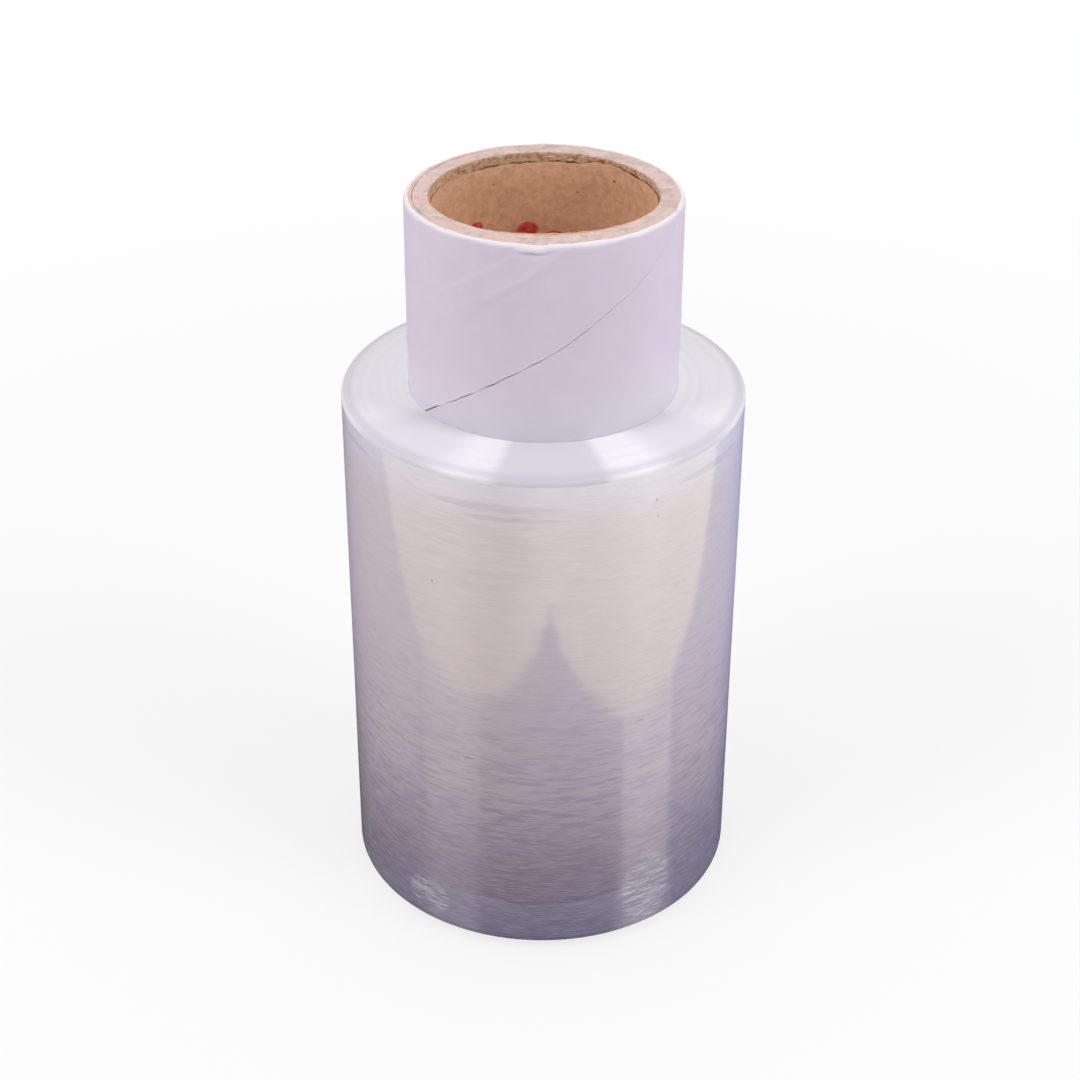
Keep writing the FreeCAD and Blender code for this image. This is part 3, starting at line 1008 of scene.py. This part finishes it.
def floor_material(settings):
    """A floor that the camera sees white with a shadow, and light sees as a sheet on a table; gloss sees a
    painted reflection, a glow with painted shade near the roll and painted patches of light.
    """
    material, tree, shader = new_material("floor")
    place, x, y, _ = place_of(tree)
    cloudy = noise(tree, place, 3.0)
    pale = settings.floor_colour
    white = blend(tree, cloudy, pale, scaled(pale, 0.98))
    path = node(tree, "ShaderNodeLightPath")

    beyond = None
    for direction, distance in TABLE_EDGES:
        a = math.radians(direction)
        out = plus(tree, times(tree, x, math.cos(a)), times(tree, y, math.sin(a)))
        edge = ramp(tree, out, distance - 3 * MM, distance + 5 * MM)
        beyond = edge if beyond is None else calculate(tree, "MAXIMUM", beyond, edge)
    sheet = blend(tree, beyond, settings.sheet_colour, pale)
    colour = blend(tree, path.outputs["Is Camera Ray"], sheet, white)
    feed(tree, shader, Base_Color=colour, Roughness=0.8, Specular_IOR_Level=0.0)

    glow = node(tree, "ShaderNodeEmission", {"Color": (1, 1, 1, 1), "Strength": 1.0}).outputs[0]
    far = ramp(tree, from_axis(tree, x, y), 0.08, 0.4, 0.7, 1.0)
    seen = blend_shaders(tree, far, shader.outputs[0], glow)
    # Painted reflection for gloss: the sheet darkens towards the roll as painted shadow, with painted
    # patches of light and the bright table beyond its edges
    near = ramp(tree, from_axis(tree, x, y), FILM_RADIUS, 3.4 * FILM_RADIUS)
    right = ramp(tree, x, -0.04, 0.06)
    around = blend(tree, right, *FAR_SHEET)
    dim = blend(tree, near, blend(tree, right, *SHADED_NEAR_SHEET), around)
    for first, last, strength in LIGHT_PATCHES:
        patch = times(tree, left_of_line(tree, x, y, *first), left_of_line(tree, x, y, *last, -1))
        dim = blend(tree, times(tree, patch, strength), dim, PATCH_COLOUR)
    bright = blend(tree, ramp(tree, x, -60 * MM, 5 * MM), *BRIGHT_TABLE)
    table = blend(tree, beyond, dim, bright)
    painted_reflection = node(tree, "ShaderNodeEmission", {"Color": table, "Strength": 1.0}).outputs[0]
    shown = blend_shaders(tree, path.outputs["Is Camera Ray"], shader.outputs[0], seen)
    shown = blend_shaders(tree, path.outputs["Is Glossy Ray"], shown, painted_reflection)
    output = next(n for n in tree.nodes if n.type == "OUTPUT_MATERIAL")
    tree.links.new(shown, output.inputs["Surface"])
    return material


def add_floor(settings):
    """The floor that the roll stands on."""
    half = settings.floor_size / 2
    mesh = bpy.data.meshes.new("floor")
    corners = [(-half, -half, 0), (half, -half, 0), (half, half, 0), (-half, half, 0)]
    mesh.from_pydata(corners, [], [(0, 1, 2, 3)])
    floor = add_object("floor", mesh)
    mesh.materials.append(floor_material(settings))


def set_world(settings):
    """Even light from all round, which the camera sees as white."""
    world = bpy.data.worlds.new("studio")
    world.use_nodes = True
    tree = world.node_tree
    tree.nodes.clear()
    path = node(tree, "ShaderNodeLightPath")
    seen = calculate(tree, "MAXIMUM", path.outputs["Is Camera Ray"], path.outputs["Is Transmission Ray"])
    direction = node(tree, "ShaderNodeTexCoord").outputs["Generated"]
    forward = node(tree, "ShaderNodeSeparateXYZ", {0: direction}).outputs["Y"]
    sky = ramp(tree, forward, -0.9, 0.0, settings.sky_strength * 0.1, settings.sky_strength)
    strength = node(tree, "ShaderNodeMapRange", {
        "Value": seen, "To Min": sky, "To Max": 1.0,
    }).outputs["Result"]
    light = node(tree, "ShaderNodeBackground", {"Color": (1, 1, 1, 1), "Strength": strength})
    output = node(tree, "ShaderNodeOutputWorld", {"Surface": light.outputs[0]})
    output.is_active_output = True
    bpy.context.scene.world = world


class RollOperator:
    """What the roll's operators share."""

    bl_options = {"REGISTER", "UNDO"}


class OBJECT_OT_board_tube(RollOperator, bpy.types.Operator):
    """Build the brown board tube of the core"""

    bl_idname = "wrap_roll.board_tube"
    bl_label = "Board Tube"

    def execute(self, context):
        build_board(context.scene.wrap_core)
        return {"FINISHED"}


class OBJECT_OT_outer_paper(RollOperator, bpy.types.Operator):
    """Build the white paper strip that is wound round the board"""

    bl_idname = "wrap_roll.outer_paper"
    bl_label = "Outer Paper"

    def execute(self, context):
        build_paper(context.scene.wrap_core)
        return {"FINISHED"}


class OBJECT_OT_wound_film(RollOperator, bpy.types.Operator):
    """Build the wound stretch film"""

    bl_idname = "wrap_roll.wound_film"
    bl_label = "Wound Film"

    def execute(self, context):
        build_film(context.scene.wrap_film)
        return {"FINISHED"}


class SCENE_OT_stage(RollOperator, bpy.types.Operator):
    """Set up the floor, the world, the lamps and the camera"""

    bl_idname = "wrap_roll.stage"
    bl_label = "Stage"

    def execute(self, context):
        settings = context.scene.wrap_stage
        context.scene.view_settings.view_transform = "Standard"
        add_floor(settings)
        set_world(settings)
        for name, azimuth, elevation, share, colour in LAMPS:
            add_lamp(name, azimuth, elevation, share * settings.lamp_power, colour)
        add_camera()
        return {"FINISHED"}


class VIEW3D_PT_wrap_roll(bpy.types.Panel):
    """The roll's operators and settings."""

    bl_label = "Wrap Roll"
    bl_space_type = "VIEW_3D"
    bl_region_type = "UI"
    bl_category = "Wrap Roll"

    def draw(self, context):
        layout = self.layout
        for operator in OPERATORS:
            layout.operator(operator.bl_idname)
        for key in SETTINGS:
            settings = getattr(context.scene, key)
            box = layout.box()
            for name in settings.__annotations__:
                box.prop(settings, name)


SETTINGS = {"wrap_core": CoreSettings, "wrap_film": FilmSettings, "wrap_stage": StageSettings}
OPERATORS = (OBJECT_OT_board_tube, OBJECT_OT_outer_paper, OBJECT_OT_wound_film, SCENE_OT_stage)


def register():
    for cls in (*SETTINGS.values(), *OPERATORS, VIEW3D_PT_wrap_roll):
        bpy.utils.register_class(cls)
    for key, cls in SETTINGS.items():
        setattr(bpy.types.Scene, key, bpy.props.PointerProperty(type=cls))


def unregister():
    for key in SETTINGS:
        delattr(bpy.types.Scene, key)
    for cls in (VIEW3D_PT_wrap_roll, *OPERATORS, *SETTINGS.values()):
        bpy.utils.unregister_class(cls)


def main():
    """Builds the roll and its stage."""
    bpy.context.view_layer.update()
    register()
    bpy.ops.wrap_roll.board_tube()
    bpy.ops.wrap_roll.outer_paper()
    bpy.ops.wrap_roll.wound_film()
    bpy.ops.wrap_roll.stage()


if __name__ == "__main__":
    main()
